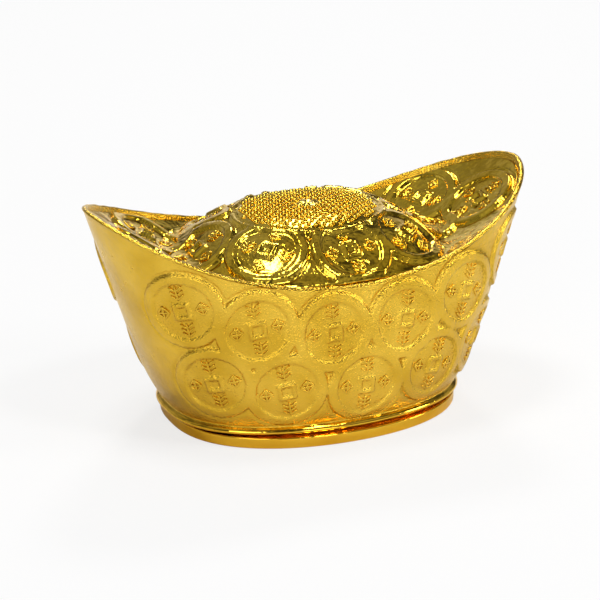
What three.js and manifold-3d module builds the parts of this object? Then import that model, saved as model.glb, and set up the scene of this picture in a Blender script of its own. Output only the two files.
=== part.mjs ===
// A boat-shaped gold ingot ornament: hull, domed deck, bottom cover and the two
// screws that tie them. Millimetres, +Z up, origin under the middle of the foot.
import * as THREE from "three";
import { mergeVertices } from "three/addons/utils/BufferGeometryUtils.js";
import Module from "manifold-3d";

// Driving dimensions of the rim, seen from above and from the side
const HALF_LENGTH = 41.7;
const RIM_HALF_WIDTH = 21.6;
const RIM_ROUNDING = 2.86;
const RIM_FULLNESS = 0.57;
const RIM_HEIGHT_MIDDLE = 29.7;
const RIM_HEIGHT_TIP = 42;
const RIM_RISE_POWER = 1.98;

// The foot of the wall, the neck band under it and the bottom cover
const FOOT_HALF_LENGTH = 28.6;
const FOOT_HALF_WIDTH = 21.1;
const FOOT_ROUNDING = 2.08;
const FOOT_FULLNESS = 0.4;
const NECK_TOP = 3.8;
const NECK_BOTTOM = 2.4;
const NECK_INSET = 1.2;
const NECK_BULGE = 0.4;
const NECK_MIDDLE = 3.1;
const NECK_STEP = 0.3;
const NECK_STEP_DROP = 0.1;
const PLATE_HALF_LENGTH = 26.8;
const PLATE_HALF_WIDTH = 21.0;
const PLATE_HEIGHT = 2.1;
const PLATE_SOFT_EDGE = 0.3;
const SPIGOT_PLAY = 0.2;
const PLATE_CUT = [-1, 5];

// Wall and deck
const WALL_THICKNESS = 1.8;
const WALL_BULGE = 0.8;
const WALL_TUCK = 1.6;
const LIP_WIDTH = 1.0;
const LIP_SOFT_EDGE = 0.3;
const LEDGE_DEPTH = 2.9;
const LEDGE_WIDTH = 1.3;
const LEDGE_SLOPE_DROP = 1.6;
const LEDGE_HEIGHT = 1.2;
const INSIDE_STATIONS = [0.7, 0.45, 0.2, 0.07];
const GAP = 0.3;
const DECK_THICKNESS = 1.6;
const DECK_EDGE_DROP = 0.4;
const VALLEY_HEIGHT = 28.6;
const VALLEY_AT = 21;
const TROUGH_POWER = 1.2;
const DOME_HEIGHT = 37.75;
const DOME_DROP = 8.55;
const DOME_HALF_LENGTH = 24;
const DOME_HALF_WIDTH = 20.4;
const DOME_SQUARENESS = 2.6;
const DOME_POWER = 2.9;
const BLEND = 3;
const CROWN_HALF_LENGTH = 13.2;
const CROWN_HALF_WIDTH = 11.2;
const CROWN_RELIEF = 0.35;
const CROWN_CUT = [30, 45];

// Cash coins in relief
const COIN_RADIUS = 7.4;
const COIN_FIELD_RADIUS = 5.6;
const COIN_HOLE_HALF = 1.1;
const COIN_FRAME_HALF = 1.8;
const COIN_RELIEF = 0.45;
const COIN_SIDES = 16;
const CUT_REACH = 3;
const SKIN_DEPTH = 0.8;
const SKIN_START = 0.01;
const SKIN_END = 0.98;
const DECK_COIN_LEAN = 6;
const UPPER_ROW = [-32.7, -19.8, -5, 10.1, 24.4, 37.6];
const UPPER_ROW_HEIGHT = 0.685;
const LOWER_ROW = [-31.2, -16.3, 2.2, 20.2, 35];
const LOWER_ROW_HEIGHT = 0.274;
const DOME_COINS = [[-21, 0], [-12.8, -11.6], [1.6, -15.4], [14, -11.6], [21, 0]];
const END_COINS = [[32.5, -2.5], [27, 9.5], [-32.5, -2.5], [-27, 9.5]];

// Screws and posts
const POST_AT = 13;
const POST_RADIUS = 3;
const POST_BOTTOM = 3.6;
const PILOT_RADIUS = 1.6;
const PILOT_TOP = 16;
const SHANK_RADIUS = 1.25;
const SHANK_TOP = 14;
const HEAD_RADIUS = 2.5;
const HEAD_HEIGHT = 1.1;
const HEAD_BOTTOM = 0.3;
const HEAD_OVERLAP = 0.2;
const DRIVE_LENGTH = 3.4;
const DRIVE_WIDTH = 0.7;
const DRIVE_DEPTH = 0.6;

// Fineness of the meshes
const AROUND = 48;
const WALL_ROWS = 4;
const DECK_ROWS = 7;
const ROUND_SIDES = 16;

const wasm = await Module();
wasm.setup();

// One point of a plan curve, an oval with its own rounding and fullness
function planPoint(angle, halfLength, halfWidth, rounding, fullness) {
  const c = Math.cos(angle);
  const side = Math.sign(Math.round(Math.sin(angle) * 1e9));
  const across = Math.pow(Math.max(0, 1 - Math.pow(Math.abs(c), rounding)), fullness);
  return [halfLength * c, side * halfWidth * across];
}

function rimPoint(angle, inset) {
  const [x, y] = planPoint(
    angle, HALF_LENGTH - inset, RIM_HALF_WIDTH - inset, RIM_ROUNDING, RIM_FULLNESS);
  const rise = Math.pow(Math.abs(Math.cos(angle)), RIM_RISE_POWER);
  const z = RIM_HEIGHT_MIDDLE + (RIM_HEIGHT_TIP - RIM_HEIGHT_MIDDLE) * rise;
  return new THREE.Vector3(x, y, z);
}

function footPoint(angle, inset) {
  const [x, y] = planPoint(
    angle, FOOT_HALF_LENGTH - inset, FOOT_HALF_WIDTH - inset, FOOT_ROUNDING, FOOT_FULLNESS);
  return new THREE.Vector3(x, y, NECK_TOP);
}

// Outer wall: a ruled surface from foot to rim, bowed out and tucked in at the foot
function wallPoint(angle, t, inset = 0) {
  const point = footPoint(angle, inset).lerp(rimPoint(angle, inset), t);
  const c = Math.cos(angle);
  const bow = 4 * t * (1 - t) * WALL_BULGE * (1 - c * c) - WALL_TUCK * Math.pow(1 - t, 9);
  point.x += c * bow;
  point.y += Math.sin(angle) * bow;
  return point;
}

function wallFrame(angle, t) {
  const step = 0.01;
  const along = wallPoint(angle + step, t).sub(wallPoint(angle - step, t)).normalize();
  const up = wallPoint(angle, t + step).sub(wallPoint(angle, t - step)).normalize();
  const out = along.clone().cross(up).normalize();
  return { point: wallPoint(angle, t), out, up };
}

// A closed mesh from equal rings of points; the rings run round a section, or stop at two centres
function ringGeometry(rings, ends) {
  const points = rings.flat();
  const count = rings[0].length;
  const faces = [];
  const last = ends ? rings.length - 1 : rings.length;
  for (let row = 0; row < last; row += 1) {
    for (let i = 0; i < count; i += 1) {
      const a = row * count + i;
      const b = row * count + (i + 1) % count;
      const next = (row + 1) % rings.length;
      const c = next * count + i;
      const d = next * count + (i + 1) % count;
      faces.push(a, b, d, a, d, c);
    }
  }
  if (ends) {
    const low = points.push(ends[0]) - 1;
    const high = points.push(ends[1]) - 1;
    const top = (rings.length - 1) * count;
    for (let i = 0; i < count; i += 1) {
      const j = (i + 1) % count;
      faces.push(low, j, i, high, top + i, top + j);
    }
  }
  const geometry = new THREE.BufferGeometry();
  geometry.setFromPoints(points);
  geometry.setIndex(faces);
  return geometry;
}

function solid(geometry) {
  const plain = geometry.clone();
  plain.deleteAttribute("normal");
  plain.deleteAttribute("uv");
  const merged = mergeVertices(plain, 1e-4);
  const mesh = new wasm.Mesh({
    numProp: 3,
    vertProperties: new Float32Array(merged.attributes.position.array),
    triVerts: new Uint32Array(merged.index.array),
  });
  mesh.merge();
  return new wasm.Manifold(mesh);
}

// The main body alone: specks and sealed pockets that a cut leaves behind are dropped
function mainBody(body) {
  return body.decompose().reduce((best, next) => (next.volume() > best.volume() ? next : best));
}

function geometryOf(body) {
  const mesh = mainBody(body).getMesh();
  const geometry = new THREE.BufferGeometry();
  geometry.setAttribute("position", new THREE.BufferAttribute(mesh.vertProperties, 3));
  geometry.setIndex(new THREE.BufferAttribute(mesh.triVerts, 1));
  geometry.computeVertexNormals();
  return geometry;
}

function aroundRing(pointAt) {
  const ring = [];
  for (let i = 0; i < AROUND; i += 1) {
    ring.push(pointAt((i / AROUND) * Math.PI * 2));
  }
  return ring;
}

function cylinder(radius, bottom, top, x = 0, sides = ROUND_SIDES) {
  const geometry = new THREE.CylinderGeometry(radius, radius, top - bottom, sides);
  geometry.rotateX(Math.PI / 2);
  geometry.translate(x, 0, (top + bottom) / 2);
  return geometry;
}

// Coin relief cutter: the ring and the frame of the square hole, standing along +Z
function coinCutter() {
  const reach = CUT_REACH;
  const ring = solid(cylinder(COIN_RADIUS, -reach, reach, 0, COIN_SIDES))
    .subtract(solid(cylinder(COIN_FIELD_RADIUS, -reach - 1, reach + 1, 0, COIN_SIDES)));
  const frame = new THREE.BoxGeometry(2 * COIN_FRAME_HALF, 2 * COIN_FRAME_HALF, 2 * reach);
  const hole = new THREE.BoxGeometry(2 * COIN_HOLE_HALF, 2 * COIN_HOLE_HALF, 3 * reach);
  return ring.add(solid(frame).subtract(solid(hole)));
}

function placeCutter(cutter, point, out, up) {
  const right = up.clone().cross(out).normalize();
  const level = out.clone().cross(right).normalize();
  const matrix = new THREE.Matrix4().makeBasis(right, level, out);
  matrix.setPosition(point);
  return cutter.transform(matrix.toArray());
}

function wallSkin(from, to) {
  const rings = [];
  const rowAt = (row, offset) => aroundRing((angle) => {
    const t = SKIN_START + ((SKIN_END - SKIN_START) * row) / WALL_ROWS;
    const { point, out } = wallFrame(angle, t);
    return point.addScaledVector(out, offset);
  });
  for (let row = 0; row <= WALL_ROWS; row += 1) {
    rings.push(rowAt(row, to));
  }
  for (let row = WALL_ROWS; row >= 0; row -= 1) {
    rings.push(rowAt(row, from));
  }
  return solid(ringGeometry(rings, null));
}

function wallCoins() {
  const cutter = coinCutter();
  const placed = [];
  const addRow = (row, height) => {
    for (const along of row) {
      const angle = 2 * Math.PI - Math.acos(along / HALF_LENGTH);
      for (const turn of [0, Math.PI]) {
        const { point, out, up } = wallFrame(angle + turn, height);
        placed.push(placeCutter(cutter, point, out, up));
      }
    }
  };
  addRow(UPPER_ROW, UPPER_ROW_HEIGHT);
  addRow(LOWER_ROW, LOWER_ROW_HEIGHT);
  return placed.reduce((all, next) => all.add(next));
}

function hullRings() {
  const rings = [];
  const drop = (point, by) => point.setZ(point.z - by);
  const neck = (angle, inset, z) => footPoint(angle, inset).setZ(z);
  rings.push(aroundRing((a) => neck(a, NECK_INSET, NECK_BOTTOM)));
  rings.push(aroundRing((a) => neck(a, NECK_INSET - NECK_BULGE, NECK_MIDDLE)));
  rings.push(aroundRing((a) => neck(a, NECK_INSET + NECK_STEP, NECK_TOP - NECK_STEP_DROP)));
  for (let row = 0; row < WALL_ROWS; row += 1) {
    rings.push(aroundRing((a) => wallPoint(a, row / WALL_ROWS)));
  }
  rings.push(aroundRing((a) => drop(rimPoint(a, 0), LIP_SOFT_EDGE)));
  rings.push(aroundRing((a) => rimPoint(a, LIP_SOFT_EDGE)));
  rings.push(aroundRing((a) => rimPoint(a, LIP_WIDTH)));
  rings.push(aroundRing((a) => drop(rimPoint(a, LIP_WIDTH), LEDGE_DEPTH)));
  const ledgeInset = LIP_WIDTH + LEDGE_WIDTH;
  const ledgeTop = LEDGE_DEPTH + LEDGE_SLOPE_DROP;
  rings.push(aroundRing((a) => drop(rimPoint(a, ledgeInset), ledgeTop)));
  rings.push(aroundRing((a) => drop(rimPoint(a, ledgeInset), ledgeTop + LEDGE_HEIGHT)));
  for (const t of INSIDE_STATIONS) {
    rings.push(aroundRing((a) => wallPoint(a, t, WALL_THICKNESS)));
  }
  const inner = NECK_INSET + WALL_THICKNESS;
  rings.push(aroundRing((a) => neck(a, inner, NECK_TOP)));
  rings.push(aroundRing((a) => neck(a, inner, NECK_BOTTOM)));
  return rings;
}

function makeHull() {
  const shell = solid(ringGeometry(hullRings(), null));
  const relief = wallSkin(-SKIN_DEPTH, COIN_RELIEF).intersect(wallCoins());
  return geometryOf(shell.add(relief));
}

// Deck heights: a trough that rises to both tips, with the dome blended over its middle
function domeHeight(x, y) {
  const across = Math.pow(Math.abs(y) / DOME_HALF_WIDTH, DOME_SQUARENESS);
  const along = Math.pow(Math.abs(x) / DOME_HALF_LENGTH, DOME_SQUARENESS);
  const reach = Math.pow(across + along, 1 / DOME_SQUARENESS);
  return DOME_HEIGHT - DOME_DROP * Math.pow(reach, DOME_POWER);
}

function troughHeight(x, share) {
  const rise = Math.max(0, Math.abs(x) - VALLEY_AT) / (HALF_LENGTH - VALLEY_AT);
  const rim = RIM_HEIGHT_MIDDLE + (RIM_HEIGHT_TIP - RIM_HEIGHT_MIDDLE)
    * Math.pow(Math.abs(x) / HALF_LENGTH, RIM_RISE_POWER) - DECK_EDGE_DROP;
  const middle = VALLEY_HEIGHT + (RIM_HEIGHT_TIP - DECK_EDGE_DROP - VALLEY_HEIGHT)
    * Math.pow(rise, TROUGH_POWER);
  return middle + (rim - middle) * share * share;
}

function deckHeight(x, y, share) {
  const dome = domeHeight(x, y);
  const trough = troughHeight(x, share);
  const gap = Math.abs(dome - trough);
  const blend = Math.max(0, BLEND - gap) / BLEND;
  return Math.max(dome, trough) + (blend * blend * BLEND) / 4;
}

function halfWidthAt(x) {
  const along = Math.min(1, Math.abs(x) / HALF_LENGTH);
  return RIM_HALF_WIDTH * Math.pow(1 - Math.pow(along, RIM_ROUNDING), RIM_FULLNESS);
}

function deckSurface(x, y, lift = 0) {
  const share = Math.min(1, Math.abs(y) / Math.max(0.5, halfWidthAt(x)));
  return new THREE.Vector3(x, y, deckHeight(x, y, share) + lift);
}

function deckPoint(angle, part, inset, lift) {
  const edge = rimPoint(angle, inset);
  const point = deckSurface(edge.x * part, edge.y * part, lift);
  const nearEdge = Math.max(0, (part - 0.9) / 0.1);
  point.z += (edge.z - DECK_EDGE_DROP + lift - point.z) * nearEdge;
  return point;
}

function deckSlab(low, high, inset) {
  const rings = [];
  const rowAt = (part, lift) => aroundRing((a) => deckPoint(a, part, inset, lift));
  for (let row = 1; row <= DECK_ROWS; row += 1) {
    rings.push(rowAt(row / DECK_ROWS, low));
  }
  for (let row = DECK_ROWS; row >= 1; row -= 1) {
    rings.push(rowAt(row / DECK_ROWS, high));
  }
  return solid(ringGeometry(rings, [deckSurface(0, 0, low), deckSurface(0, 0, high)]));
}

function deckFrame(x, y) {
  const step = 0.05;
  const along = deckSurface(x + step, y).sub(deckSurface(x - step, y)).normalize();
  const across = deckSurface(x, y + step).sub(deckSurface(x, y - step)).normalize();
  const out = along.cross(across).normalize();
  return { point: deckSurface(x, y), out };
}

function deckCoins() {
  const cutter = coinCutter();
  const spots = [...END_COINS];
  for (const [x, y] of DOME_COINS) {
    spots.push([x, y]);
    if (y !== 0) {
      spots.push([x, -y]);
    }
  }
  const placed = spots.map(([x, y]) => {
    const { point, out } = deckFrame(x, y);
    return placeCutter(cutter, point, out, new THREE.Vector3(-x, -y, DECK_COIN_LEAN).normalize());
  });
  return placed.reduce((all, next) => all.add(next));
}

function crownPatch() {
  const patch = cylinder(1, ...CROWN_CUT);
  patch.scale(CROWN_HALF_LENGTH, CROWN_HALF_WIDTH, 1);
  return solid(patch);
}

function makeDeck() {
  const inset = LIP_WIDTH + GAP;
  const skinInset = inset + GAP / 2;
  const raised = deckSlab(-SKIN_DEPTH, COIN_RELIEF, skinInset);
  const crown = deckSlab(-SKIN_DEPTH, CROWN_RELIEF, skinInset).intersect(crownPatch());
  const coins = raised.intersect(deckCoins().subtract(crownPatch()));
  let deck = deckSlab(-DECK_THICKNESS, 0, inset).add(coins).add(crown);
  for (const x of [-POST_AT, POST_AT]) {
    const top = deckSurface(x, 0).z - DECK_THICKNESS / 2;
    deck = deck.add(solid(cylinder(POST_RADIUS, POST_BOTTOM, top, x)));
  }
  for (const x of [-POST_AT, POST_AT]) {
    deck = deck.subtract(solid(cylinder(PILOT_RADIUS, POST_BOTTOM - 1, PILOT_TOP, x)));
  }
  return geometryOf(deck);
}

function makeBasePlate() {
  const plate = (inset, z) => aroundRing((a) => {
    const [x, y] = planPoint(
      a, PLATE_HALF_LENGTH - inset, PLATE_HALF_WIDTH - inset, FOOT_ROUNDING, FOOT_FULLNESS);
    return new THREE.Vector3(x, y, z);
  });
  const inner = NECK_INSET + WALL_THICKNESS + GAP;
  const spigot = (z) => aroundRing((a) => footPoint(a, inner + SPIGOT_PLAY).setZ(z));
  const rings = [
    plate(PLATE_SOFT_EDGE, 0),
    plate(0, PLATE_SOFT_EDGE),
    plate(0, PLATE_HEIGHT - PLATE_SOFT_EDGE),
    plate(PLATE_SOFT_EDGE, PLATE_HEIGHT),
    spigot(PLATE_HEIGHT),
    spigot(POST_BOTTOM - GAP),
  ];
  const ends = [new THREE.Vector3(0, 0, 0), new THREE.Vector3(0, 0, POST_BOTTOM - GAP)];
  let body = solid(ringGeometry(rings, ends));
  const headTop = HEAD_BOTTOM + HEAD_HEIGHT + GAP;
  for (const x of [-POST_AT, POST_AT]) {
    body = body.subtract(solid(cylinder(HEAD_RADIUS + GAP, PLATE_CUT[0], headTop, x)));
    body = body.subtract(solid(cylinder(PILOT_RADIUS, ...PLATE_CUT, x)));
  }
  return geometryOf(body);
}

function makeScrew() {
  const head = solid(cylinder(HEAD_RADIUS, HEAD_BOTTOM, HEAD_BOTTOM + HEAD_HEIGHT));
  const shank = solid(cylinder(SHANK_RADIUS, HEAD_BOTTOM + HEAD_OVERLAP, SHANK_TOP));
  let screw = head.add(shank);
  for (const turn of [0, Math.PI / 2]) {
    const slot = new THREE.BoxGeometry(DRIVE_LENGTH, DRIVE_WIDTH, 2 * DRIVE_DEPTH);
    slot.rotateZ(turn);
    slot.translate(0, 0, HEAD_BOTTOM);
    screw = screw.subtract(solid(slot));
  }
  return geometryOf(screw);
}

function metal(color, roughness) {
  return new THREE.MeshStandardMaterial({ color, roughness, metalness: 1 });
}

function named(name, geometry, material) {
  const mesh = new THREE.Mesh(geometry, material);
  mesh.name = name;
  return mesh;
}

const ingot = new THREE.Group();
ingot.add(named("hull", makeHull(), metal(0xd8ac35, 0.35)));
ingot.add(named("deck", makeDeck(), metal(0xcfa12a, 0.15)));
ingot.add(named("base_plate", makeBasePlate(), metal(0xe0ac28, 0.2)));
for (const [side, x] of [["left", -POST_AT], ["right", POST_AT]]) {
  const screw = named(`tie_screw_${side}`, makeScrew(), metal(0xb8b4a8, 0.3));
  screw.position.x = x;
  ingot.add(screw);
}

export default ingot;
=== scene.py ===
"""Looks of a boat-shaped gold ingot with coins in relief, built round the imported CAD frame."""
import logging
import math
from dataclasses import dataclass, field
from enum import Enum

import bmesh
import bpy
import numpy as np
from mathutils import Matrix, Vector
from mathutils.bvhtree import BVHTree


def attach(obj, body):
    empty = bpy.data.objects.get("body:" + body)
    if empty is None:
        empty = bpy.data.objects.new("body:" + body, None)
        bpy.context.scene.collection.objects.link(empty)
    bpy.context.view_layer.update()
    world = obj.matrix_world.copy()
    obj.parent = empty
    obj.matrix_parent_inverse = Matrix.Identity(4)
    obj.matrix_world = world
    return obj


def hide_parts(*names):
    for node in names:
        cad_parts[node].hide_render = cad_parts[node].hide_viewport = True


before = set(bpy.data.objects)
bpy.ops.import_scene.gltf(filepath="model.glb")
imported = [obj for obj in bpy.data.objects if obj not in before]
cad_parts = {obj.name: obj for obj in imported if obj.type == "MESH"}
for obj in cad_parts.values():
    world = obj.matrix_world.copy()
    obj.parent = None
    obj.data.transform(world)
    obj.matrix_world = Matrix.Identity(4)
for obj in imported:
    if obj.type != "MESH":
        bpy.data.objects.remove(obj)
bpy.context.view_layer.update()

MM = 0.001
SEED = 7
WAVE_HEIGHTS = (0.3, 1.0)
log = logging.getLogger("ingot")


class Closing(Enum):
    """Whether the last ring joins the first, or faces from elsewhere close the ends."""

    ROUND = "round"
    CENTRE = "centre"


def lifted(base: np.ndarray, direction: np.ndarray, amount: np.ndarray) -> np.ndarray:
    """Points moved along their own directions.

    Args:
        base: points, shape (..., 3).
        direction: unit directions, shape (..., 3).
        amount: distances, shape (...).
    Returns:
        The moved points.
    """
    return base + direction * amount[..., None]


def unit(vectors: np.ndarray) -> np.ndarray:
    """Vectors of length one, along the given ones."""
    length = np.linalg.norm(vectors, axis=-1, keepdims=True)
    return vectors / np.maximum(length, 1e-12)


def smooth_step(low: float, high: float, value: np.ndarray) -> np.ndarray:
    """A soft step from 0 below low to 1 above high."""
    share = np.clip((value - low) / (high - low), 0.0, 1.0)
    return share * share * (3.0 - 2.0 * share)


def wavy(angle: np.ndarray, waves: int, seed: int) -> np.ndarray:
    """A smooth irregular closed line round the object, between about -1 and 1.

    Args:
        angle: angles round the object.
        waves: the highest number of waves round it.
        seed: fixes the phases.
    Returns:
        The height of the line at each angle.
    """
    rng = np.random.default_rng(seed)
    total = np.zeros_like(angle)
    for count in range(3, waves):
        total += np.sin(count * angle + rng.uniform(0, 2 * math.pi)) * rng.uniform(*WAVE_HEIGHTS)
    return total / math.sqrt(waves)


@dataclass(frozen=True)
class Plan:
    """An oval seen from above, in millimetres."""

    half_length: float
    half_width: float
    rounding: float
    fullness: float

    def points(self, angle: np.ndarray, inset: float = 0.0) -> tuple[np.ndarray, np.ndarray]:
        """The oval's points at some angles.

        Args:
            angle: angles round the oval.
            inset: how far both half sizes are drawn in.
        Returns:
            The points' x and y.
        """
        c = np.cos(angle)
        side = np.sign(np.round(np.sin(angle), 9))
        across = np.maximum(0.0, 1.0 - np.abs(c) ** self.rounding) ** self.fullness
        return (self.half_length - inset) * c, side * (self.half_width - inset) * across


@dataclass(frozen=True)
class Body:
    """The ingot's driving shape, in millimetres, as the CAD states it."""

    rim: Plan = Plan(41.7, 21.6, 2.86, 0.57)
    foot: Plan = Plan(28.6, 21.1, 2.08, 0.4)
    plate: Plan = Plan(26.8, 21.0, 2.08, 0.4)
    rim_middle: float = 29.7
    rim_tip: float = 42.0
    rim_power: float = 1.98
    neck_top: float = 3.8
    neck_bottom: float = 2.4
    neck_inset: float = 1.2
    neck_step: float = 0.3
    neck_step_drop: float = 0.1
    plate_height: float = 2.1
    bulge: float = 0.8
    tuck: float = 1.6
    tuck_power: int = 9
    wall_thickness: float = 1.8
    lip: float = 1.0
    edge_drop: float = 0.4
    gap: float = 0.3
    valley: float = 28.6
    valley_at: float = 21.0
    trough_power: float = 1.2
    dome_height: float = 37.75
    dome_drop: float = 8.55
    dome_half_length: float = 24.0
    dome_half_width: float = 20.4
    dome_squareness: float = 2.6
    dome_power: float = 2.9
    blend: float = 3.0
    least_half_width: float = 0.5

    def rim_points(self, angle: np.ndarray, inset: float = 0.0) -> np.ndarray:
        """Points of the rim line.

        Args:
            angle: angles round the ingot.
            inset: how far the line is drawn in.
        Returns:
            The points, shape (..., 3).
        """
        x, y = self.rim.points(angle, inset)
        rise = np.abs(np.cos(angle)) ** self.rim_power
        return np.stack([x, y, self.rim_middle + (self.rim_tip - self.rim_middle) * rise], axis=-1)

    def foot_points(self, angle: np.ndarray, inset: float, z: float) -> np.ndarray:
        """Points of the foot's outline at a height."""
        x, y = self.foot.points(angle, inset)
        return np.stack([x, y, np.full_like(x, z)], axis=-1)

    def wall(self, angle: np.ndarray, t: np.ndarray, inset: float = 0.0) -> np.ndarray:
        """Points of the outer wall.

        Args:
            angle: angles round the ingot.
            t: height up the wall, 0 at the foot and 1 at the rim.
            inset: how far the wall is drawn in.
        Returns:
            The points, shape (..., 3).
        """
        low = self.foot_points(angle, inset, self.neck_top)
        high = self.rim_points(angle, inset)
        point = low * (1 - t)[..., None] + high * t[..., None]
        c = np.cos(angle)
        s = np.sin(angle)
        bow = 4 * t * (1 - t) * self.bulge * (1 - c * c) - self.tuck * (1 - t) ** self.tuck_power
        return point + np.stack([c * bow, s * bow, np.zeros_like(bow)], axis=-1)

    def wall_frame(self, angle: np.ndarray, t: np.ndarray) -> tuple[np.ndarray, np.ndarray, np.ndarray]:
        """Points of the wall with their directions.

        Args:
            angle: angles round the ingot.
            t: height up the wall, 0 at the foot and 1 at the rim.
        Returns:
            The points, their outward directions and their upward directions.
        """
        step = 0.01
        along = self.wall(angle + step, t) - self.wall(angle - step, t)
        up = unit(self.wall(angle, t + step) - self.wall(angle, t - step))
        return self.wall(angle, t), unit(np.cross(along, up)), up

    def deck_height(self, x: np.ndarray, y: np.ndarray) -> np.ndarray:
        """Height of the deck's smooth surface.

        Args:
            x: places along the ingot.
            y: places across it.
        Returns:
            The height over each place.
        """
        across = (np.abs(y) / self.dome_half_width) ** self.dome_squareness
        along = (np.abs(x) / self.dome_half_length) ** self.dome_squareness
        reach = (across + along) ** (1 / self.dome_squareness)
        dome = self.dome_height - self.dome_drop * reach ** self.dome_power
        place = np.clip(np.abs(x) / self.rim.half_length, 0.0, 1.0)
        half = self.rim.half_width * (1 - place ** self.rim.rounding) ** self.rim.fullness
        share = np.clip(np.abs(y) / np.maximum(half, self.least_half_width), 0.0, 1.0)
        rise = np.maximum(0.0, np.abs(x) - self.valley_at) / (self.rim.half_length - self.valley_at)
        rim = self.rim_middle + (self.rim_tip - self.rim_middle) * place ** self.rim_power
        rim = rim - self.edge_drop
        middle = self.valley + (self.rim_tip - self.edge_drop - self.valley) * rise ** self.trough_power
        trough = middle + (rim - middle) * share * share
        mix = np.maximum(0.0, self.blend - np.abs(dome - trough)) / self.blend
        return np.maximum(dome, trough) + mix * mix * self.blend / 4

    def deck_points(self, x: np.ndarray, y: np.ndarray) -> np.ndarray:
        """Points of the deck's smooth surface."""
        return np.stack([x, y, self.deck_height(x, y)], axis=-1)

    def deck_normals(self, x: np.ndarray, y: np.ndarray) -> np.ndarray:
        """Upward normals of the deck's smooth surface.

        Args:
            x: places along the ingot.
            y: places across it.
        Returns:
            The unit normals, shape (..., 3).
        """
        step = 0.05
        along = self.deck_points(x + step, y) - self.deck_points(x - step, y)
        across = self.deck_points(x, y + step) - self.deck_points(x, y - step)
        return unit(np.cross(along, across))


@dataclass(frozen=True)
class Seat:
    """Where a coin lies: its centre and its three directions."""

    centre: np.ndarray
    out: np.ndarray
    up: np.ndarray

    @property
    def right(self) -> np.ndarray:
        """The coin's direction to its own right."""
        return unit(np.cross(self.up, self.out))


@dataclass(frozen=True)
class Coin:
    """A cash coin in relief, in millimetres."""

    radius: float = 7.4
    field_radius: float = 5.6
    frame_half: float = 1.75
    hole_half: float = 1.05
    height: float = 0.52
    field_height: float = 0.06
    soft: float = 0.34
    frame_soft: float = 0.3
    mark_reach: float = 3.65
    groove: float = 0.16
    groove_out: float = 0.2
    groove_width: float = 0.3
    groove_ends: float = 0.12

    def relief(self, points: np.ndarray, seat: Seat, depth: float = 4.0) -> np.ndarray:
        """Height that the coin adds at each point of a surface.

        Args:
            points: the surface's points, shape (..., 3).
            seat: where the coin lies.
            depth: how far from the coin's plane the surface may lie.
        Returns:
            Heights in millimetres, zero away from the coin.
        """
        offset = points - seat.centre
        a = offset @ seat.right
        b = offset @ seat.up
        near = np.abs(offset @ seat.out) < depth
        r = np.hypot(a, b)
        outer = 1 - smooth_step(self.radius - self.soft, self.radius, r)
        inner = smooth_step(self.field_radius - self.soft, self.field_radius, r)
        ring = outer * inner
        square = np.maximum(np.abs(a), np.abs(b))
        edge = 1 - smooth_step(self.frame_half - self.frame_soft, self.frame_half, square)
        hole = smooth_step(self.hole_half - self.frame_soft, self.hole_half, square)
        raised = np.maximum(ring, edge * hole) * self.height
        floor = self.field_height * (1 - inner) * (1 - edge * (1 - hole))
        return np.where(near, np.maximum(raised, floor), 0.0)

    def rim_groove(self, points: np.ndarray, seat: Seat, depth: float = 4.0) -> np.ndarray:
        """Depth of the fine groove round a coin at each point of a surface.

        Args:
            points: the surface's points, shape (..., 3).
            seat: where the coin lies.
            depth: how far from the coin's plane the surface may lie.
        Returns:
            Depths in millimetres, zero away from the groove.
        """
        offset = points - seat.centre
        r = np.hypot(offset @ seat.right, offset @ seat.up)
        near = np.abs(offset @ seat.out) < depth
        away = (r - self.radius - self.groove_out) / self.groove_width
        return np.where(near, self.groove * np.exp(-away ** 2), 0.0)

    def on_surface(self, points: np.ndarray, seats: list[Seat], depth: float = 4.0) -> np.ndarray:
        """Height that all coins together add to a surface, grooves included.

        Args:
            points: the surface's points, shape (..., 3).
            seats: where the coins lie.
            depth: how far from a coin's plane the surface may lie.
        Returns:
            Heights in millimetres, below zero in a groove.
        """
        raised = np.zeros(points.shape[:-1])
        groove = np.zeros(points.shape[:-1])
        for seat in seats:
            raised = np.maximum(raised, self.relief(points, seat, depth))
            groove = np.maximum(groove, self.rim_groove(points, seat, depth))
        return raised - groove * (1 - smooth_step(0.0, self.groove_ends, raised))


# The coins' ornaments, stroke by stroke: its middle in millimetres, its length and its tilt in degrees
LEAF_OUT = 0.65
LEAF_PITCH = 0.85
LOZENGE_OUT = 0.62
SPRIG = ((0, 0, 3.0, 90),) + tuple(
    (side * LEAF_OUT, row * LEAF_PITCH, 1.5, side * 35) for side in (-1, 1) for row in (-1, 0, 1))
LOZENGE = tuple(
    (a * LOZENGE_OUT, b * LOZENGE_OUT, 1.9, -45 * a * b) for a in (-1, 1) for b in (-1, 1)
) + ((0, 0, 2.6, 0), (0, 0, 2.6, 90))
ORNAMENTS = (SPRIG, LOZENGE)
ORNAMENT_SCALE = 0.95
RAY_START = 3.0
RAY_REACH = 8.0


def mesh_from(name: str, points: np.ndarray, faces: list) -> bpy.types.Object:
    """A smooth-shaded mesh object at the origin.

    Args:
        name: the object's name.
        points: vertices in millimetres, shape (n, 3).
        faces: lists of vertex numbers.
    Returns:
        The linked object.
    """
    mesh = bpy.data.meshes.new(name)
    mesh.from_pydata((points * MM).tolist(), [], faces)
    mesh.validate()
    mesh.shade_smooth()
    thing = bpy.data.objects.new(name, mesh)
    bpy.context.scene.collection.objects.link(thing)
    return thing


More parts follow.
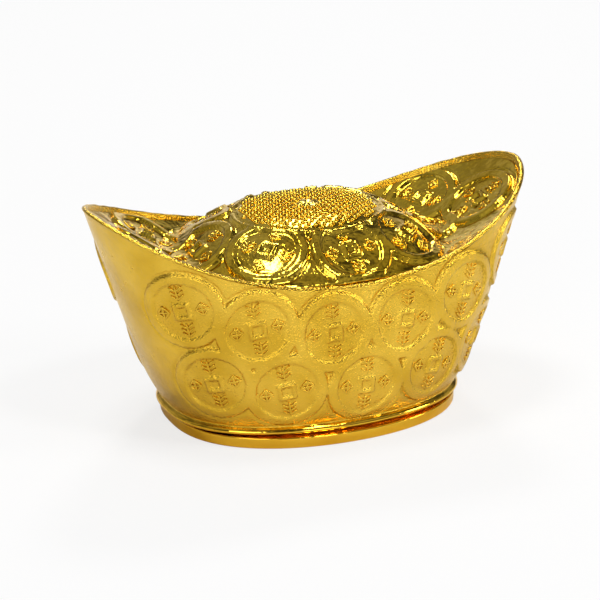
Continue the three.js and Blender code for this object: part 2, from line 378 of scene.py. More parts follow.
def ring_faces(rows: int, count: int, closed: Closing, start: int = 0) -> list:
    """Faces between rings of equal length.

    Args:
        rows: number of rings.
        count: points in each ring.
        closed: ROUND joins the last ring to the first.
        start: number of the first vertex.
    Returns:
        Faces facing away from the axis where the rings climb.
    """
    last = rows if closed is Closing.ROUND else rows - 1
    r = np.arange(last)[:, None]
    i = np.arange(count)[None, :]
    following = (r + 1) % rows
    j = (i + 1) % count
    quads = np.stack([r * count + i, r * count + j, following * count + j, following * count + i], axis=-1)
    return (quads.reshape(-1, 4) + start).tolist()


def surface_of(piece: bpy.types.Object) -> BVHTree:
    """The surface of a mesh object, ready for rays.

    Args:
        piece: the mesh object, at the origin.
    Returns:
        A tree of its faces.
    """
    mesh = piece.data
    return BVHTree.FromPolygons([vertex.co for vertex in mesh.vertices],
                                [tuple(face.vertices) for face in mesh.polygons])


class Kit:
    """Small helpers that dress a finished piece and hand it to the frame."""

    @staticmethod
    def dress(piece: bpy.types.Object, material: bpy.types.Material, slot: str, *nodes: str) -> None:
        """Gives a piece its finish and its body, and reports it.

        Args:
            piece: the finished mesh object.
            material: its finish.
            slot: not used.
            nodes: the CAD nodes that it stands for, if any.
        """
        piece.data.materials.clear()
        piece.data.materials.append(material)
        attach(piece, "root")
        if nodes:
            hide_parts(*nodes)
        log.info("%s: %d faces", piece.name, len(piece.data.polygons))

    @staticmethod
    def bake_nodes(piece: bpy.types.Object, modifier: bpy.types.Modifier) -> None:
        """Turns a Geometry Nodes result into the piece's own plain mesh.

        Args:
            piece: the object that carries the modifier.
            modifier: the Geometry Nodes modifier, which is removed.
        """
        graph = bpy.context.evaluated_depsgraph_get()
        made = bpy.data.meshes.new_from_object(piece.evaluated_get(graph))
        piece.modifiers.remove(modifier)
        piece.data = made
        made.name = piece.name


@dataclass(frozen=True)
class Gold:
    """Gold plate over a casting: colour, shine and the grain of its surface."""

    name: str
    light: tuple[float, float, float]
    deep: tuple[float, float, float]
    shine_low: float
    shine_high: float
    grain_mm: float
    grain_height_mm: float
    ripple_height_mm: float
    cloud_mm: float = 9.0
    patch_mm: float = 2.2
    ripple_mm: float = 3.0

    def material(self) -> bpy.types.Material:
        """The finish as a node material on object coordinates.

        Returns:
            The new material.
        """
        made = bpy.data.materials.new(self.name)
        made.use_nodes = True
        nodes = made.node_tree.nodes
        links = made.node_tree.links
        shader = nodes["Principled BSDF"]
        shader.inputs["Metallic"].default_value = 1.0
        place = nodes.new("ShaderNodeTexCoord")
        cloud = self.noise(nodes, links, place, 1 / (self.cloud_mm * MM), 4)
        colour = nodes.new("ShaderNodeMix")
        colour.data_type = "RGBA"
        colour.inputs["A"].default_value = (*self.deep, 1)
        colour.inputs["B"].default_value = (*self.light, 1)
        spread = nodes.new("ShaderNodeMapRange")
        spread.inputs["From Min"].default_value = 0.35
        spread.inputs["From Max"].default_value = 0.65
        links.new(cloud, spread.inputs["Value"])
        links.new(spread.outputs["Result"], colour.inputs["Factor"])
        links.new(colour.outputs["Result"], shader.inputs["Base Color"])
        patch = self.noise(nodes, links, place, 1 / (self.patch_mm * MM), 5)
        shine = nodes.new("ShaderNodeMapRange")
        shine.inputs["From Min"].default_value = 0.3
        shine.inputs["From Max"].default_value = 0.7
        shine.inputs["To Min"].default_value = self.shine_low
        shine.inputs["To Max"].default_value = self.shine_high
        links.new(patch, shine.inputs["Value"])
        links.new(shine.outputs["Result"], shader.inputs["Roughness"])
        ripple = self.bump(nodes, links, self.noise(nodes, links, place, 1 / (self.ripple_mm * MM), 2),
                           self.ripple_height_mm, None)
        grain = self.bump(nodes, links, self.noise(nodes, links, place, 1 / (self.grain_mm * MM), 3),
                          self.grain_height_mm, ripple)
        links.new(grain, shader.inputs["Normal"])
        return made

    @staticmethod
    def noise(nodes: bpy.types.Nodes, links: bpy.types.NodeLinks, place: bpy.types.Node,
              scale: float, detail: float) -> bpy.types.NodeSocket:
        """A noise pattern on object coordinates.

        Args:
            nodes: the material's nodes.
            links: the material's links.
            place: the texture coordinate node.
            scale: waves in a metre.
            detail: how many finer layers it has.
        Returns:
            The pattern, from 0 to 1.
        """
        texture = nodes.new("ShaderNodeTexNoise")
        texture.inputs["Scale"].default_value = scale
        texture.inputs["Detail"].default_value = detail
        links.new(place.outputs["Object"], texture.inputs["Vector"])
        return texture.outputs["Fac"]

    @staticmethod
    def bump(nodes: bpy.types.Nodes, links: bpy.types.NodeLinks, height: bpy.types.NodeSocket,
             millimetres: float, under: bpy.types.NodeSocket | None) -> bpy.types.NodeSocket:
        """A bump of a real height.

        Args:
            nodes: the material's nodes.
            links: the material's links.
            height: the pattern that is raised.
            millimetres: its full height.
            under: the normal of a bump below it, if any.
        Returns:
            The bumped normal.
        """
        node = nodes.new("ShaderNodeBump")
        node.inputs["Distance"].default_value = millimetres * MM
        links.new(height, node.inputs["Height"])
        if under is not None:
            links.new(under, node.inputs["Normal"])
        return node.outputs["Normal"]


SATIN = Gold("satin gold", (0.84, 0.54, 0.06), (0.68, 0.41, 0.03), 0.16, 0.28, 0.36, 0.17, 0.22)
MIRROR = Gold("mirror gold", (0.86, 0.585, 0.06), (0.76, 0.47, 0.03), 0.07, 0.15, 0.5, 0.035, 0.3)
POLISHED = Gold("polished gold", (0.92, 0.57, 0.05), (0.84, 0.47, 0.03), 0.06, 0.13, 0.5, 0.02, 0.16)
STEEL = Gold("screw steel", (0.62, 0.6, 0.56), (0.5, 0.48, 0.45), 0.25, 0.4, 0.3, 0.01, 0.02)


class Strokes:
    """Small rounded bars set on a surface by Geometry Nodes."""

    soften_level: int = 2

    def __init__(self, name: str, width: float, height: float) -> None:
        """Takes the piece's name and the bars' width and height in millimetres."""
        self.name = name
        self.width = width
        self.height = height
        self.places: list[Vector] = []
        self.turns: list[Vector] = []
        self.sizes: list[Vector] = []

    def add(self, place: Vector, normal: Vector, along: Vector, length: float) -> None:
        """Sets one bar on a surface.

        Args:
            place: its middle, in metres.
            normal: the surface's normal there.
            along: the direction that it lies along.
            length: its length in millimetres.
        """
        x_axis = (along - normal * along.dot(normal)).normalized()
        y_axis = normal.cross(x_axis)
        turn = Matrix((x_axis, y_axis, normal)).transposed().to_euler()
        self.places.append(place)
        self.turns.append(Vector(turn))
        self.sizes.append(Vector((length, self.width, self.height)) * MM)

    def tree(self) -> bpy.types.NodeTree:
        """A softened box on every point, turned and stretched by the points' attributes.

        Returns:
            The new node tree.
        """
        tree = bpy.data.node_groups.new(self.name + " bars", "GeometryNodeTree")
        face = tree.interface
        face.new_socket("Geometry", in_out="INPUT", socket_type="NodeSocketGeometry")
        face.new_socket("Edge Keep", in_out="INPUT", socket_type="NodeSocketFloat")
        face.new_socket("Finish", in_out="INPUT", socket_type="NodeSocketMaterial")
        face.new_socket("Geometry", in_out="OUTPUT", socket_type="NodeSocketGeometry")
        nodes = tree.nodes
        links = tree.links
        source = nodes.new("NodeGroupInput")
        result = nodes.new("NodeGroupOutput")
        box = nodes.new("GeometryNodeMeshCube")
        soften = nodes.new("GeometryNodeSubdivisionSurface")
        soften.inputs["Level"].default_value = self.soften_level
        links.new(box.outputs["Mesh"], soften.inputs["Mesh"])
        links.new(source.outputs["Edge Keep"], soften.inputs["Edge Crease"])
        turn = self.attribute(nodes, "turn")
        euler = nodes.new("FunctionNodeEulerToRotation")
        links.new(turn, euler.inputs["Euler"])
        place = nodes.new("GeometryNodeInstanceOnPoints")
        links.new(source.outputs["Geometry"], place.inputs["Points"])
        links.new(soften.outputs["Mesh"], place.inputs["Instance"])
        links.new(euler.outputs["Rotation"], place.inputs["Rotation"])
        links.new(self.attribute(nodes, "size"), place.inputs["Scale"])
        real = nodes.new("GeometryNodeRealizeInstances")
        smooth = nodes.new("GeometryNodeSetShadeSmooth")
        finish = nodes.new("GeometryNodeSetMaterial")
        links.new(place.outputs["Instances"], real.inputs["Geometry"])
        links.new(real.outputs["Geometry"], smooth.inputs["Geometry"])
        links.new(smooth.outputs["Geometry"], finish.inputs["Geometry"])
        links.new(source.outputs["Finish"], finish.inputs["Material"])
        links.new(finish.outputs["Geometry"], result.inputs["Geometry"])
        return tree

    @staticmethod
    def attribute(nodes: bpy.types.Nodes, name: str) -> bpy.types.NodeSocket:
        """Reads a named vector of each point.

        Args:
            nodes: the tree's nodes.
            name: the attribute's name.
        Returns:
            The vector's socket.
        """
        node = nodes.new("GeometryNodeInputNamedAttribute")
        node.data_type = "FLOAT_VECTOR"
        node.inputs["Name"].default_value = name
        return node.outputs["Attribute"]

    def build(self, material: bpy.types.Material, edge_keep: float) -> bpy.types.Object:
        """Makes every bar, as one plain mesh.

        Args:
            material: the finish of the bars.
            edge_keep: how square the bars stay, from 0 to 1.
        Returns:
            The piece, at the origin.
        """
        mesh = bpy.data.meshes.new(self.name)
        mesh.from_pydata([tuple(place) for place in self.places], [], [])
        for name, values in (("turn", self.turns), ("size", self.sizes)):
            layer = mesh.attributes.new(name, "FLOAT_VECTOR", "POINT")
            layer.data.foreach_set("vector", [number for value in values for number in value])
        piece = bpy.data.objects.new(self.name, mesh)
        bpy.context.scene.collection.objects.link(piece)
        modifier = piece.modifiers.new("bars", "NODES")
        modifier.node_group = self.tree()
        inputs = {item.name: item.identifier for item in modifier.node_group.interface.items_tree
                  if item.in_out == "INPUT"}
        modifier[inputs["Edge Keep"]] = edge_keep
        modifier[inputs["Finish"]] = material
        Kit.bake_nodes(piece, modifier)
        return piece


def set_marks(strokes: Strokes, surface: BVHTree, seats: list[Seat], coin: Coin) -> None:
    """Sets four ornaments round the square hole of each coin.

    Args:
        strokes: collects the bars.
        surface: the finished surface that carries them.
        seats: where the coins lie.
        coin: the coins' sizes.
    """
    for number, seat in enumerate(seats):
        for quarter in range(4):
            turn = quarter * math.pi / 2
            away = math.cos(turn) * seat.up + math.sin(turn) * seat.right
            middle = seat.centre + away * coin.mark_reach
            for a, b, length, tilt in ORNAMENTS[(number + quarter) % len(ORNAMENTS)]:
                spot = middle + (a * seat.right + b * seat.up) * ORNAMENT_SCALE
                angle = math.radians(tilt)
                along = math.cos(angle) * seat.right + math.sin(angle) * seat.up
                start = Vector((spot + seat.out * RAY_START) * MM)
                hit, normal, _, _ = surface.ray_cast(start, Vector(-seat.out), RAY_REACH * MM)
                if hit is not None:
                    strokes.add(hit, normal, Vector(along), length)


@dataclass
class Hull:
    """The outer shell, with two rows of coins on each long side and the foot's neck."""

    body: Body
    coin: Coin
    around: int = 800
    rows: int = 96
    upper: tuple[float, ...] = (-32.7, -19.8, -5.0, 10.1, 24.4, 37.6)
    upper_height: float = 0.685
    lower: tuple[float, ...] = (-31.2, -16.3, 2.2, 20.2, 35.0)
    lower_height: float = 0.274
    rows_at: float = 0.6
    wall_top: float = 0.985
    fade_low: float = 0.03
    fade_high: float = 0.975
    flash: float = 0.14
    flash_waves: int = 70
    flash_share: float = 0.4
    lip_drop: float = 0.38
    lip_crown: float = 0.33
    lip_steps: int = 6
    ledge: tuple = ((1.0, 2.9), (2.3, 4.5), (2.3, 5.7))
    inside_stations: tuple[float, ...] = (0.7, 0.45, 0.2, 0.07)
    neck_bulge: float = 0.4
    neck_bulge_power: float = 0.8
    neck_rows: int = 9
    mark_width: float = 0.42
    mark_height: float = 0.5
    mark_edge: float = 0.3
    seats: list[Seat] = field(default_factory=list)

    def __post_init__(self) -> None:
        """Finds where the coins lie."""
        for row, height in ((self.upper, self.upper_height), (self.lower, self.lower_height)):
            for along in row:
                angle = 2 * math.pi - math.acos(along / self.body.rim.half_length)
                for turn in (0.0, math.pi):
                    self.seats.append(self.seat(angle + turn, height))

    def seat(self, angle: float, height: float) -> Seat:
        """The seat of a coin on the wall.

        Args:
            angle: its angle round the ingot.
            height: its height up the wall, from 0 to 1.
        Returns:
            The seat.
        """
        point, out, up = self.body.wall_frame(np.array(angle), np.array(height))
        return Seat(point, out, up)

    def angles(self) -> np.ndarray:
        """Angles that space the wall's columns evenly.

        Returns:
            One angle for each column.
        """
        fine = np.linspace(0, 2 * math.pi, 4001)
        line = self.body.wall(fine, np.full_like(fine, self.rows_at))
        length = np.concatenate([[0], np.cumsum(np.linalg.norm(np.diff(line, axis=0), axis=1))])
        wanted = np.linspace(0, length[-1], self.around + 1)[:-1]
        return np.interp(wanted, length, fine)

    def neck_rings(self, angle: np.ndarray) -> list[np.ndarray]:
        """The neck band under the wall.

        Args:
            angle: angles of the columns.
        Returns:
            Rings of points from the band's bottom to its top.
        """
        body = self.body
        rings = []
        for step in range(self.neck_rows):
            share = step / (self.neck_rows - 1)
            bulge = self.neck_bulge * math.sin(math.pi * share ** self.neck_bulge_power)
            inset = body.neck_inset + body.neck_step * share * share - bulge
            z = body.neck_bottom + (body.neck_top - body.neck_step_drop - body.neck_bottom) * share
            rings.append(body.foot_points(angle, inset, z))
        return rings

    def outer_rings(self, angle: np.ndarray) -> np.ndarray:
        """The outer wall with its coins.

        Args:
            angle: angles of the columns.
        Returns:
            Rings of points from foot to rim.
        """
        t = np.linspace(0, self.wall_top, self.rows)
        grid_angle, grid_t = np.meshgrid(angle, t)
        points, out, _ = self.body.wall_frame(grid_angle, grid_t)
        height = self.coin.on_surface(points, self.seats)
        fade_in = smooth_step(0.0, self.fade_low, grid_t)
        fade_out = 1 - smooth_step(self.fade_high, self.wall_top, grid_t)
        return lifted(points, out, height * (fade_in * fade_out))

    def lip_rings(self, angle: np.ndarray) -> list[np.ndarray]:
        """The rounded lip, with the slight flash that casting leaves.

        Args:
            angle: angles of the columns.
        Returns:
            Rings of points over the lip.
        """
        rings = []
        rough = wavy(angle, self.flash_waves, SEED) * self.flash
        for step in range(self.lip_steps + 1):
            turn = math.pi * step / self.lip_steps
            rise = math.sin(turn)
            inset = self.body.lip / 2 * (1 - math.cos(turn))
            ring = self.body.rim_points(angle, inset)
            ring[:, 2] -= (self.lip_drop - self.lip_crown * rise - rough * rise * self.flash_share
                           + self.flash * self.flash_share)
            rings.append(ring)
        return rings

    def inner_rings(self, angle: np.ndarray) -> list[np.ndarray]:
        """The hidden inside, with the ledge that the deck rests on.

        Args:
            angle: angles of the columns.
        Returns:
            Rings of points from the lip down to the neck.
        """
        body = self.body
        rings = []
        for inset, drop in self.ledge:
            ring = body.rim_points(angle, inset)
            ring[:, 2] -= drop
            rings.append(ring)
        for t in self.inside_stations:
            rings.append(body.wall(angle, np.full_like(angle, t), body.wall_thickness))
        inner = body.neck_inset + body.wall_thickness
        rings.append(body.foot_points(angle, inner, body.neck_top))
        rings.append(body.foot_points(angle, inner, body.neck_bottom))
        return rings

    def build(self, material: bpy.types.Material, neck: bpy.types.Material) -> None:
        """Builds the shell and its marks, and hands both to the frame.

        Args:
            material: the satin finish of the wall.
            neck: the polished finish of the neck band.
        """
        angle = self.angles()
        rings = self.neck_rings(angle)
        rings += list(self.outer_rings(angle))
        rings += self.lip_rings(angle)
        rings += self.inner_rings(angle)
        points = np.concatenate(rings)
        faces = ring_faces(len(rings), self.around, Closing.ROUND)
        shell = mesh_from("hull_shell", points, faces)
        surface = surface_of(shell)
        marks = Strokes("hull_coin_marks", self.mark_width, self.mark_height)
        set_marks(marks, surface, self.seats, self.coin)
        Kit.dress(shell, material, "satin_gold", "hull")
        shell.data.materials.append(neck)
        for face in shell.data.polygons[:(self.neck_rows - 1) * self.around]:
            face.material_index = 1
        Kit.dress(marks.build(material, self.mark_edge), material, "satin_gold")


@dataclass
class Deck:
    """The dished top with its dome, coins and dotted crown."""

    body: Body
    coin: Coin
    columns: int = 400
    rows: int = 126
    crown_half_length: float = 13.2
    crown_half_width: float = 11.2
    crown_height: float = 0.3
    crown_line: float = 0.55
    dot_pitch: float = 1.22
    dot_size: float = 1.0
    dot_rows: tuple[float, float] = (0.72, 0.6)
    dot_limit: float = 0.94
    rosette: float = 1.9
    rosette_height: float = 0.25
    rosette_gap: float = 0.3
    petals: int = 6
    petal_depth: float = 0.2
    petal_soft: float = 0.3
    eye_edge: tuple[float, float] = (0.35, 0.6)
    patch_to: tuple[float, float] = (0.96, 1.0)
    line_from: tuple[float, float] = (0.99, 1.02)
    line_to: tuple[float, float] = (1.05, 1.085)
    coins_from: tuple[float, float] = (1.03, 1.07)
    edge_fade: tuple[float, float] = (-0.8, -0.2)
    tip_angle: float = 0.03
    thickness: float = 1.4
    under_rings: tuple[float, ...] = (0.12, 0.3, 0.5, 0.7, 0.85, 0.95, 1.0)
    relief_depth: float = 5.0
    coin_lean: float = 6.0
    mark_width: float = 0.44
    mark_height: float = 0.6
    mark_edge: float = 0.3
    mark_limit: float = 1.12
    dome_coins: tuple = ((-21, 0), (-12.8, -11.6), (1.6, -15.4), (14, -11.6), (21, 0),
                         (-12.8, 11.6), (1.6, 15.4), (14, 11.6))
    end_coins: tuple = ((32.5, -2.5), (27.0, 9.5), (-32.5, -2.5), (-27.0, 9.5))
    seats: list[Seat] = field(default_factory=list)

    def __post_init__(self) -> None:
        """Finds where the coins lie."""
        for x, y in self.dome_coins + self.end_coins:
            place = (np.array(float(x)), np.array(float(y)))
            out = self.body.deck_normals(*place)
            inward = np.array([-x, -y, self.coin_lean])
            up = unit(inward - out * (inward @ out))
            self.seats.append(Seat(self.body.deck_points(*place), out, up))

    def crown_reach(self, x: np.ndarray, y: np.ndarray) -> np.ndarray:
        """How far out a place is from the crown's middle, 1 at the crown's edge."""
        return np.hypot(x / self.crown_half_length, y / self.crown_half_width)

    def surface(self, x: np.ndarray, y: np.ndarray) -> np.ndarray:
        """The deck's top with everything in relief on it.

        Args:
            x: places along the ingot.
            y: places across it.
        Returns:
            The points, shape (..., 3).
        """
        smooth = self.body.deck_points(x, y)
        normal = self.body.deck_normals(x, y)
        reach = self.crown_reach(x, y)
        coins = self.coin.on_surface(smooth, self.seats, self.relief_depth)
        outside = smooth_step(*self.coins_from, reach)
        line = smooth_step(*self.line_from, reach) * (1 - smooth_step(*self.line_to, reach))
        patch = 1 - smooth_step(*self.patch_to, reach)
        centre = np.hypot(x, y)
        wave = 1 - self.petal_depth + self.petal_depth * np.cos(self.petals * np.arctan2(y, x))
        petals = self.rosette * wave
        eye = smooth_step(*self.eye_edge, centre)
        flower = (1 - smooth_step(petals - self.petal_soft, petals, centre)) * eye
        relief = (coins * outside + line * self.crown_line + patch * self.crown_height
                  + flower * self.rosette_height)
        relief = relief * (1 - self.edge_share(x, y))
        return lifted(smooth, normal, relief)

    def edge_share(self, x: np.ndarray, y: np.ndarray) -> np.ndarray:
        """How near a place is to the deck's edge.

        Args:
            x: places along the ingot.
            y: places across it.
        Returns:
            1 at the edge, 0 a little way in.
        """
        rim = self.body.rim
        inset = self.body.lip + self.body.gap
        place = np.clip(np.abs(x) / (rim.half_length - inset), 0, 1)
        half = (rim.half_width - inset) * (1 - place ** rim.rounding) ** rim.fullness
        return smooth_step(*self.edge_fade, np.abs(y) - half)

    def build(self, material: bpy.types.Material) -> None:
        """Builds the dish, its marks and the crown's dots, and hands them to the frame.

        Args:
            material: the mirror finish.
        """
        rim = self.body.rim
        inset = self.body.lip + self.body.gap
        phi = np.linspace(math.pi - self.tip_angle, self.tip_angle, self.columns)
        across = np.linspace(-1, 1, self.rows)
        edge_x, edge_y = rim.points(phi, inset)
        x = np.repeat(edge_x[:, None], self.rows, axis=1)
        y = edge_y[:, None] * across[None, :]
        top = self.surface(x, y)
        number = np.arange(self.columns * self.rows).reshape(self.columns, self.rows)
        quads = np.stack([number[:-1, :-1], number[1:, :-1], number[1:, 1:], number[:-1, 1:]], axis=-1)
        faces = quads.reshape(-1, 4).tolist()
        loop = np.concatenate([number[:, 0], number[-1, 1:], number[-2::-1, -1], number[0, -2:0:-1]])
        edge = top.reshape(-1, 3)[loop]
        rings = []
        for part in self.under_rings:
            px, py = edge[:, 0] * part, edge[:, 1] * part
            pz = self.body.deck_height(px, py) - self.thickness
            if part == 1.0:
                pz = edge[:, 2] - self.thickness
            rings.append(np.stack([px, py, pz], axis=-1))
        low = self.columns * self.rows
        count = len(loop)
        faces += ring_faces(len(rings), count, Closing.CENTRE, low)
        middle = low + count * len(rings)
        under = np.array([[0, 0, self.body.dome_height - self.thickness]])
        last = low + count * (len(rings) - 1)
        for i in range(count):
            j = (i + 1) % count
            faces.append([last + i, last + j, int(loop[j]), int(loop[i])])
            faces.append([middle, low + j, low + i])
        points = np.concatenate([top.reshape(-1, 3)] + rings + [under])
        dish = mesh_from("deck_dish", points, faces)
        surface = surface_of(dish)
        marks = Strokes("deck_coin_marks", self.mark_width, self.mark_height)
        set_marks(marks, surface, self.seats, self.coin)
        keep = self.marks_outside_crown(marks)
        Kit.dress(dish, material, "mirror_gold", "deck")
        Kit.dress(keep.build(material, self.mark_edge), material, "mirror_gold")
        Kit.dress(self.dots(surface, material), material, "mirror_gold")

    def marks_outside_crown(self, marks: Strokes) -> Strokes:
        """The marks that the crown and the rim don't cut.

        Args:
            marks: every mark that was set.
        Returns:
            The marks that stay.
        """
        kept = Strokes(marks.name, marks.width, marks.height)
        for place, turn, size in zip(marks.places, marks.turns, marks.sizes):
            x, y = place.x / MM, place.y / MM
            reach = float(self.crown_reach(np.array(x), np.array(y)))
            edge = float(self.edge_share(np.array(x), np.array(y)))
            if reach > self.mark_limit and edge < 0.01:
                kept.places.append(place)
                kept.turns.append(turn)
                kept.sizes.append(size)
        return kept

    def dots(self, surface: BVHTree, material: bpy.types.Material) -> bpy.types.Object:
        """Rows of small round dots over the crown, on a slanting grid.

        Args:
            surface: the dish's surface.
            material: the finish of the dots.
        Returns:
            The dots as one piece.
        """
        dots = Strokes("crown_dots", self.dot_size, self.dot_size)
        span = int(2 * self.crown_half_length / self.dot_pitch)
        for i in range(-span, span):
            for j in range(-span, span):
                x = (i + j) * self.dot_pitch * self.dot_rows[0]
                y = (i - j) * self.dot_pitch * self.dot_rows[1]
                if self.crown_reach(np.array(x), np.array(y)) > self.dot_limit:
                    continue
                if math.hypot(x, y) < self.rosette + self.rosette_gap:
                    continue
                above = Vector((x * MM, y * MM, 0.06))
                hit, normal, _, _ = surface.ray_cast(above, Vector((0, 0, -1)))
                if hit is not None:
                    dots.add(hit, normal, Vector((1, 0, 0)), self.dot_size)
        return dots.build(material, 0.0)


@dataclass
class Foot:
    """The bottom cover with its polished edge band, and the screws that hold it."""

    body: Body
    around: int = 320
    edge_radius: float = 0.45
    screw_at: float = 13.0
    head_hole: float = 2.8
    head_depth: float = 1.7
    pilot: float = 1.6
    pilot_top: float = 5.0
    below: float = -1.0
    under_insets: tuple[float, ...] = (12, 6, 2)
    edge_steps: int = 6
    edge_rough: float = 0.05
    edge_waves: int = 90
    spigot_top: float = 3.3
    spigot_play: float = 0.2
    spigot_inner: float = 8.0

    def ring(self, angle: np.ndarray, inset: float, z: float) -> np.ndarray:
        """One ring of the cover's outline.

        Args:
            angle: angles of the columns.
            inset: how far the outline is drawn in.
            z: the ring's height.
        Returns:
            The ring's points.
        """
        x, y = self.body.plate.points(angle, inset)
        return np.stack([x, y, np.full_like(x, z)], axis=-1)

    def rings(self, angle: np.ndarray) -> list[np.ndarray]:
        """The cover's section, ring by ring.

        Args:
            angle: angles of the columns.
        Returns:
            Rings from the middle of the underside, over the edge, to the spigot's top.
        """
        made = [self.ring(angle, inset, 0.0) for inset in self.under_insets]
        rough = wavy(angle, self.edge_waves, SEED + 1) * self.edge_rough
        radius = self.edge_radius
        for step in range(self.edge_steps + 1):
            turn = math.pi / 2 * step / self.edge_steps
            made.append(self.ring(angle, radius * (1 - math.sin(turn)), radius * (1 - math.cos(turn))))
        top = self.body.plate_height
        upper = radius * 0.5
        for step in range(self.edge_steps + 1):
            turn = math.pi / 2 * step / self.edge_steps
            ring = self.ring(angle, upper * (1 - math.cos(turn)), top - upper * (1 - math.sin(turn)))
            ring[:, 2] += rough * math.sin(turn) * 0.7 - 0.04 * math.sin(turn)
            made.append(ring)
        body = self.body
        spigot = body.neck_inset + body.wall_thickness + body.gap + self.spigot_play
        made.append(body.foot_points(angle, spigot, top - 0.05))
        made.append(body.foot_points(angle, spigot, self.spigot_top))
        made.append(body.foot_points(angle, spigot + self.spigot_inner, self.spigot_top))
        return made

    def build(self, polished: bpy.types.Material, steel: bpy.types.Material) -> None:
        """Builds the cover, cuts the screw holes and dresses the screws.

        Args:
            polished: the finish of the cover.
            steel: the finish of the screws.
        """
        angle = np.linspace(0, 2 * math.pi, self.around + 1)[:-1]
        rings = self.rings(angle)
        faces = ring_faces(len(rings), self.around, Closing.CENTRE)
        low = len(rings) * self.around
        top = low - self.around
        for i in range(self.around):
            j = (i + 1) % self.around
            faces.append([low, j, i])
            faces.append([low + 1, top + i, top + j])
        points = np.concatenate(rings + [np.array([[0, 0, 0.0], [0, 0, self.spigot_top]])])
        cover = mesh_from("foot_cover", points, faces)
        for x in (-self.screw_at, self.screw_at):
            self.cut(cover, self.drill(x, self.head_hole, self.below, self.head_depth))
            self.cut(cover, self.drill(x, self.pilot, self.below, self.pilot_top))
        Kit.dress(cover, polished, "polished_gold", "base_plate")
        for name in ("tie_screw_left", "tie_screw_right"):
            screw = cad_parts[name]
            screw.data.materials.clear()
            screw.data.materials.append(steel)

    @staticmethod
    def drill(x: float, radius: float, low: float, high: float) -> bpy.types.Object:
        """A cylinder that stands where a hole goes.

        Args:
            x: its place along the ingot.
            radius: its radius.
            low: its lower end.
            high: its upper end.
        Returns:
            The cylinder.
        """
        maker = bmesh.new()
        bmesh.ops.create_cone(maker, cap_ends=True, segments=48, radius1=radius * MM, radius2=radius * MM,
                              depth=(high - low) * MM,
                              matrix=Matrix.Translation((x * MM, 0, (high + low) / 2 * MM)))
        mesh = bpy.data.meshes.new("drill")
        maker.to_mesh(mesh)
        maker.free()
        tool = bpy.data.objects.new("drill", mesh)
        bpy.context.scene.collection.objects.link(tool)
        return tool

    @staticmethod
    def cut(piece: bpy.types.Object, tool: bpy.types.Object) -> None:
        """Takes a tool's shape out of a piece and throws the tool away.

        Args:
            piece: the piece that is cut.
            tool: the solid that is taken out of it.
        """
        modifier = piece.modifiers.new("hole", "BOOLEAN")
        modifier.operation = "DIFFERENCE"
        modifier.solver = "EXACT"
        modifier.object = tool
        graph = bpy.context.evaluated_depsgraph_get()
        made = bpy.data.meshes.new_from_object(piece.evaluated_get(graph))
        piece.modifiers.remove(modifier)
        piece.data = made
        bpy.data.objects.remove(tool)


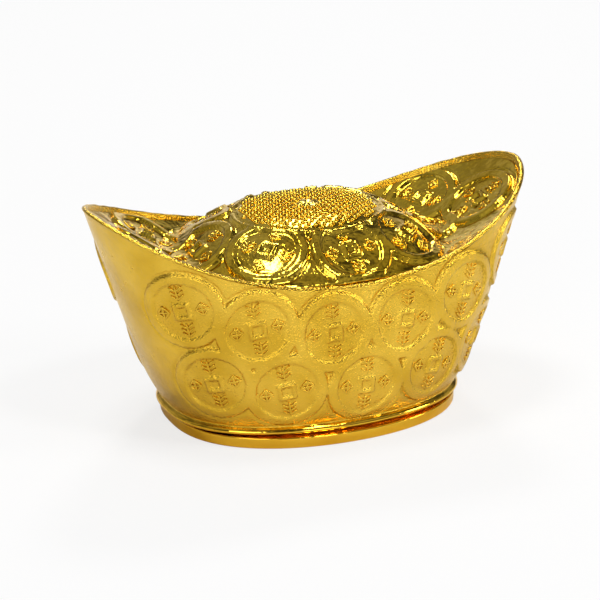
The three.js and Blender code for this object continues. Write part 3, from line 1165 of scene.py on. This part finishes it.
@dataclass
class Studio:
    """Camera, soft lamps, pale floor and world, in metres and watts."""

    target: Vector = field(default_factory=lambda: Vector((0, 0, 0.022)))
    azimuth: float = 23.463
    elevation: float = 20.088
    distance: float = 0.514781
    lens: float = 171.9
    shift_x: float = -0.01246
    shift_y: float = -0.02185
    dim: float = 0.05
    bright: float = 0.42
    patch_scale: float = 3.2
    behind_low: float = 0.88
    behind_high: float = 0.98
    floor_grey: float = 0.9
    floor_glow: float = 0.75
    floor_half: float = 3.0
    lamps: tuple = (
        ("key", (-0.6, -0.75, 0.35), 0.45, 2.4),
        ("low front", (0.1, -0.8, 0.12), 0.2, 0.6),
        ("right", (0.65, -0.35, 0.3), 0.2, 1.6),
        ("over front", (0.15, -0.35, 0.7), 0.12, 1.2),
        ("over", (-0.1, 0.05, 0.7), 0.16, 1.4),
        ("over back", (0.2, 0.45, 0.5), 0.12, 1.2),
    )

    def camera(self) -> None:
        """The camera at the photograph's viewing angle."""
        turn = math.radians(self.azimuth)
        tilt = math.radians(self.elevation)
        back = Vector((-math.sin(turn) * math.cos(tilt), -math.cos(turn) * math.cos(tilt), math.sin(tilt)))
        data = bpy.data.cameras.new("camera")
        data.lens = self.lens
        data.shift_x = self.shift_x
        data.shift_y = self.shift_y
        data.clip_start = 0.01
        thing = bpy.data.objects.new("camera", data)
        thing.location = self.target + back * self.distance
        thing.rotation_euler = back.to_track_quat("Z", "Y").to_euler()
        bpy.context.scene.collection.objects.link(thing)
        bpy.context.scene.camera = thing

    def lamp(self, name: str, place: tuple, size: float, power: float) -> None:
        """A square soft lamp that looks at the ingot.

        Args:
            name: the lamp's name.
            place: where it stands.
            size: the length of its side.
            power: its power.
        """
        data = bpy.data.lights.new(name, "AREA")
        data.size = size
        data.energy = power
        thing = bpy.data.objects.new(name, data)
        thing.location = place
        thing.rotation_euler = (Vector(place) - self.target).to_track_quat("Z", "Y").to_euler()
        bpy.context.scene.collection.objects.link(thing)

    def floor(self) -> None:
        """A pale floor that stays near white to the camera and keeps the shadow."""
        maker = bmesh.new()
        bmesh.ops.create_grid(maker, x_segments=1, y_segments=1, size=self.floor_half)
        mesh = bpy.data.meshes.new("floor")
        maker.to_mesh(mesh)
        maker.free()
        made = bpy.data.materials.new("pale floor")
        made.use_nodes = True
        nodes = made.node_tree.nodes
        links = made.node_tree.links
        shader = nodes["Principled BSDF"]
        shader.inputs["Base Color"].default_value = (*[self.floor_grey] * 3, 1)
        shader.inputs["Roughness"].default_value = 0.9
        glow = nodes.new("ShaderNodeEmission")
        path = nodes.new("ShaderNodeLightPath")
        part = nodes.new("ShaderNodeMath")
        part.operation = "MULTIPLY"
        part.inputs[1].default_value = self.floor_glow
        mix = nodes.new("ShaderNodeMixShader")
        links.new(path.outputs["Is Camera Ray"], part.inputs[0])
        links.new(part.outputs[0], mix.inputs["Fac"])
        links.new(shader.outputs[0], mix.inputs[1])
        links.new(glow.outputs[0], mix.inputs[2])
        links.new(mix.outputs[0], nodes["Material Output"].inputs["Surface"])
        mesh.materials.append(made)
        thing = bpy.data.objects.new("floor", mesh)
        bpy.context.scene.collection.objects.link(thing)

    def world(self) -> None:
        """White to the camera and behind the ingot, and a room of soft light and dark patches elsewhere."""
        world = bpy.data.worlds.new("studio")
        world.use_nodes = True
        bpy.context.scene.world = world
        nodes = world.node_tree.nodes
        links = world.node_tree.links
        place = nodes.new("ShaderNodeTexCoord")
        behind = nodes.new("ShaderNodeVectorMath")
        behind.operation = "DOT_PRODUCT"
        behind.inputs[1].default_value = self.behind()
        ramp = nodes.new("ShaderNodeValToRGB")
        links.new(place.outputs["Generated"], behind.inputs[0])
        links.new(behind.outputs["Value"], ramp.inputs["Fac"])
        ramp.color_ramp.elements[0].position = self.behind_low
        ramp.color_ramp.elements[1].position = self.behind_high
        patches = nodes.new("ShaderNodeTexNoise")
        patches.inputs["Scale"].default_value = self.patch_scale
        patches.inputs["Detail"].default_value = 1.0
        spread = nodes.new("ShaderNodeMapRange")
        spread.inputs["From Min"].default_value = 0.38
        spread.inputs["From Max"].default_value = 0.62
        spread.inputs["To Min"].default_value = self.dim
        spread.inputs["To Max"].default_value = self.bright
        room = nodes.new("ShaderNodeMix")
        room.data_type = "RGBA"
        room.inputs["B"].default_value = (1, 1, 1, 1)
        links.new(place.outputs["Generated"], patches.inputs["Vector"])
        links.new(patches.outputs["Fac"], spread.inputs["Value"])
        links.new(spread.outputs["Result"], room.inputs["A"])
        links.new(ramp.outputs["Color"], room.inputs["Factor"])
        path = nodes.new("ShaderNodeLightPath")
        mix = nodes.new("ShaderNodeMix")
        mix.data_type = "RGBA"
        mix.inputs["B"].default_value = (1, 1, 1, 1)
        links.new(path.outputs["Is Camera Ray"], mix.inputs["Factor"])
        links.new(room.outputs["Result"], mix.inputs["A"])
        links.new(mix.outputs["Result"], nodes["Background"].inputs["Color"])

    def behind(self) -> tuple[float, float, float]:
        """The level direction from the camera past the ingot, where the white ground lies."""
        turn = math.radians(self.azimuth)
        return math.sin(turn), math.cos(turn), 0.0

    def build(self) -> None:
        """Sets up the whole studio."""
        self.camera()
        self.floor()
        self.world()
        for name, place, size, power in self.lamps:
            self.lamp(name, place, size, power)
        bpy.context.scene.view_settings.view_transform = "Standard"


def main() -> None:
    """Builds every sub-assembly in order."""
    logging.basicConfig(level=logging.INFO, format="%(message)s")
    body = Body()
    Studio().build()
    polished = POLISHED.material()
    Hull(body, Coin(height=0.42, groove=0.24)).build(SATIN.material(), polished)
    Deck(body, Coin(height=0.62, groove=0.22)).build(MIRROR.material())
    Foot(body).build(polished, STEEL.material())


if __name__ == "__main__":
    main()
